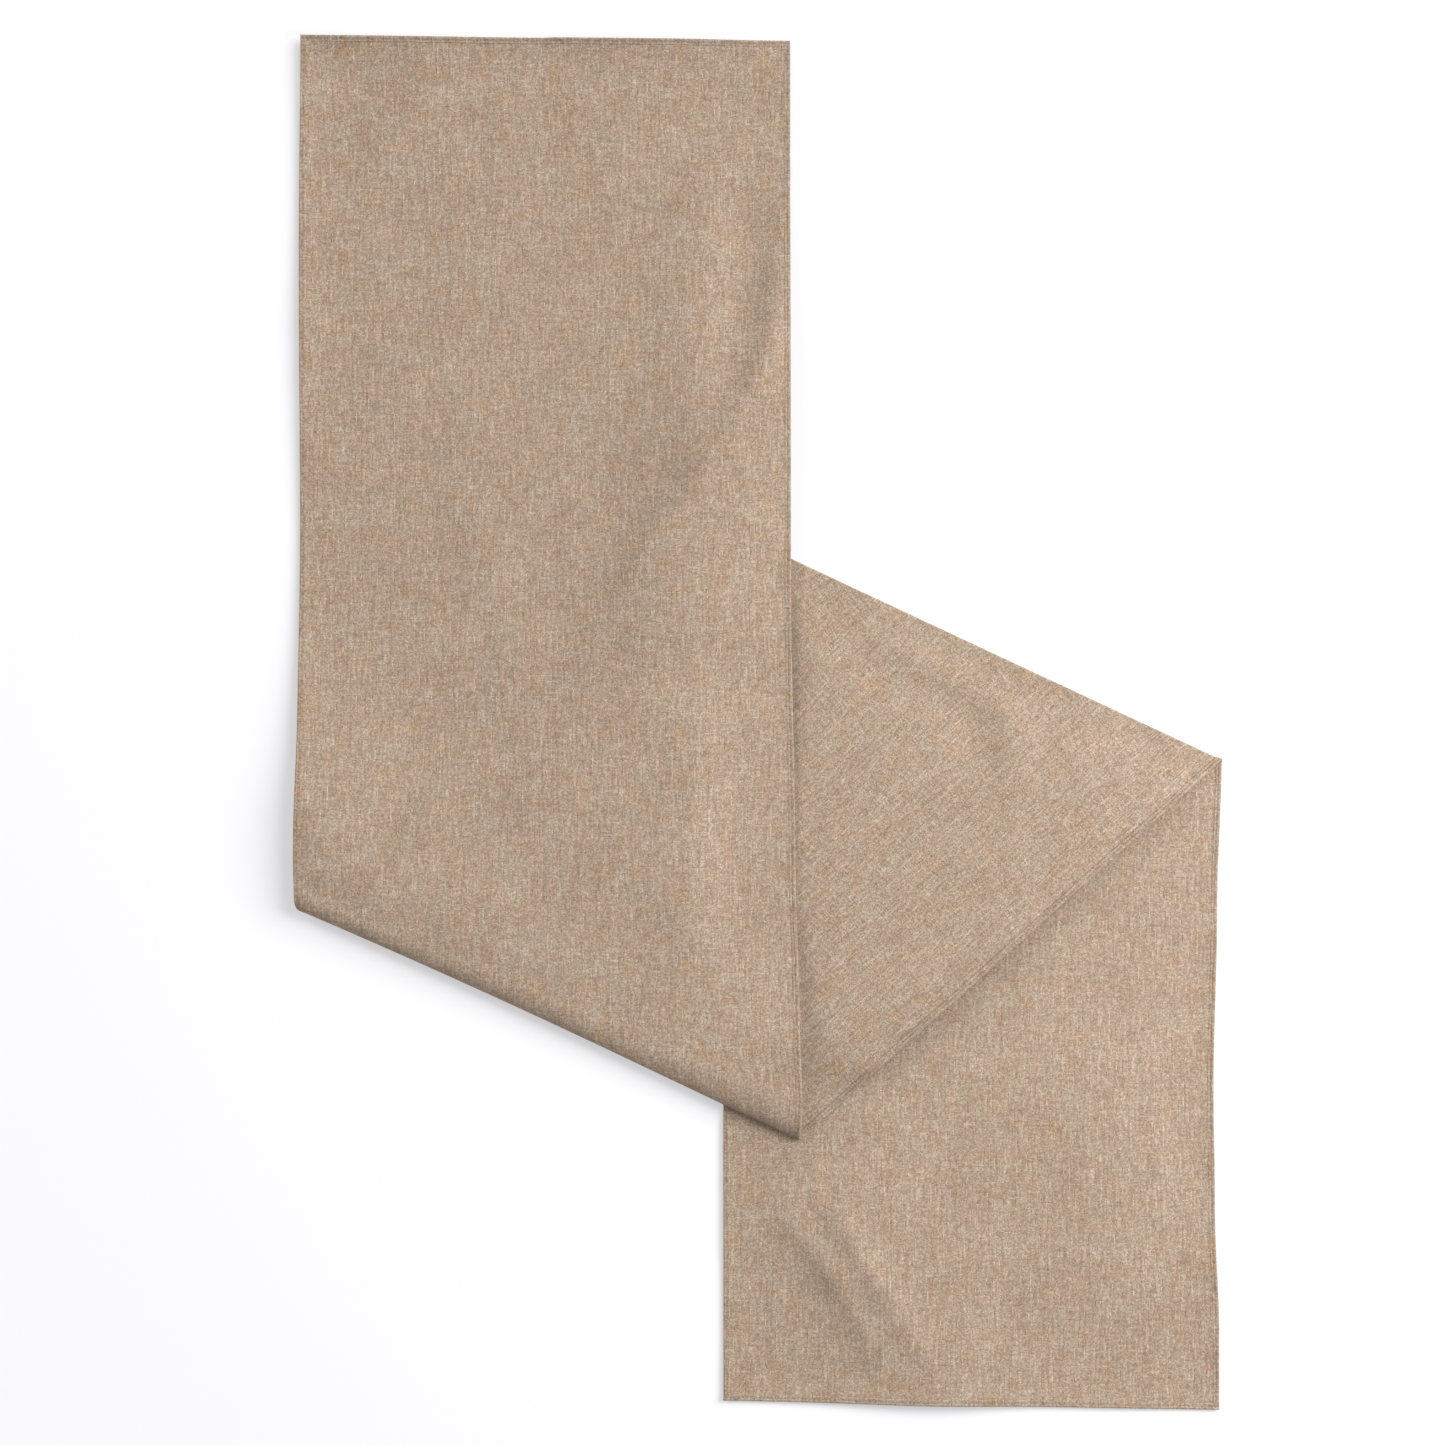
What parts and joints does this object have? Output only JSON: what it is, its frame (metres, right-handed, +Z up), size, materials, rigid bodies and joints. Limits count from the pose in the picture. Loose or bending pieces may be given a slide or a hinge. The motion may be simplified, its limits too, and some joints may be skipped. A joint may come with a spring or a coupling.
{
  "type": "table runner",
  "caption": "Long woven cloth runner with a narrow stitched hem all round, lying folded in three on a table; both folds open flat.",
  "frame": {"origin": "on the table, at the middle of the folded runner's footprint", "axes": "+Y along the top and bottom panels, towards the top panel's end; +Z up; +X towards the second fold's outer corner"},
  "size_m": [0.7215, 1.0632, 0.0214],
  "materials": {
    "slub_weave_cloth": "plain-woven melange yarn, matt",
    "turned_hem": "the same cloth turned under twice and pressed",
    "sewing_thread": "matched spun polyester thread"
  },
  "bodies": {
    "middle_panel": {"first_fold_cloth": "slub_weave_cloth", "first_fold_left_hem": "turned_hem", "first_fold_left_hem_bobbin_thread": "sewing_thread", "first_fold_left_hem_needle_thread": "sewing_thread", "first_fold_right_hem": "turned_hem", "first_fold_right_hem_bobbin_thread": "sewing_thread", "first_fold_right_hem_needle_thread": "sewing_thread", "middle_panel_cloth": "slub_weave_cloth", "middle_panel_left_hem": "turned_hem", "middle_panel_left_hem_bobbin_thread": "sewing_thread", "middle_panel_left_hem_needle_thread": "sewing_thread", "middle_panel_right_hem": "turned_hem", "middle_panel_right_hem_bobbin_thread": "sewing_thread", "middle_panel_right_hem_needle_thread": "sewing_thread", "second_fold_cloth": "slub_weave_cloth", "second_fold_left_hem": "turned_hem", "second_fold_left_hem_bobbin_thread": "sewing_thread", "second_fold_left_hem_needle_thread": "sewing_thread", "second_fold_right_hem": "turned_hem", "second_fold_right_hem_bobbin_thread": "sewing_thread", "second_fold_right_hem_needle_thread": "sewing_thread"},
    "top_panel": {"top_panel_cloth": "slub_weave_cloth", "top_panel_end_hem": "turned_hem", "top_panel_end_hem_bobbin_thread": "sewing_thread", "top_panel_end_hem_needle_thread": "sewing_thread", "top_panel_left_hem": "turned_hem", "top_panel_left_hem_bobbin_thread": "sewing_thread", "top_panel_left_hem_needle_thread": "sewing_thread", "top_panel_right_hem": "turned_hem", "top_panel_right_hem_bobbin_thread": "sewing_thread", "top_panel_right_hem_needle_thread": "sewing_thread"},
    "bottom_panel": {"bottom_panel_cloth": "slub_weave_cloth", "bottom_panel_end_hem": "turned_hem", "bottom_panel_end_hem_bobbin_thread": "sewing_thread", "bottom_panel_end_hem_needle_thread": "sewing_thread", "bottom_panel_left_hem": "turned_hem", "bottom_panel_left_hem_bobbin_thread": "sewing_thread", "bottom_panel_left_hem_needle_thread": "sewing_thread", "bottom_panel_right_hem": "turned_hem", "bottom_panel_right_hem_bobbin_thread": "sewing_thread", "bottom_panel_right_hem_needle_thread": "sewing_thread"}
  },
  "joints": [
    {"name": "first_fold", "type": "hinge", "parent": "middle_panel", "child": "top_panel", "pos_m": [-0.1658, -0.23421, 0.0125], "axis": [0.9107, -0.4131, 0], "range_deg": [0, 180], "deforming": ["first_fold_cloth", "first_fold_left_hem", "first_fold_left_hem_bobbin_thread", "first_fold_left_hem_needle_thread", "first_fold_right_hem", "first_fold_right_hem_bobbin_thread", "first_fold_right_hem_needle_thread"]},
    {"name": "second_fold", "type": "hinge", "parent": "middle_panel", "child": "bottom_panel", "pos_m": [0.16983, 0.05654, 0.0027], "axis": [0.9107, -0.4131, 0], "range_deg": [0, 180], "deforming": ["second_fold_cloth", "second_fold_left_hem", "second_fold_left_hem_bobbin_thread", "second_fold_left_hem_needle_thread", "second_fold_right_hem", "second_fold_right_hem_bobbin_thread", "second_fold_right_hem_needle_thread"]}
  ]
}
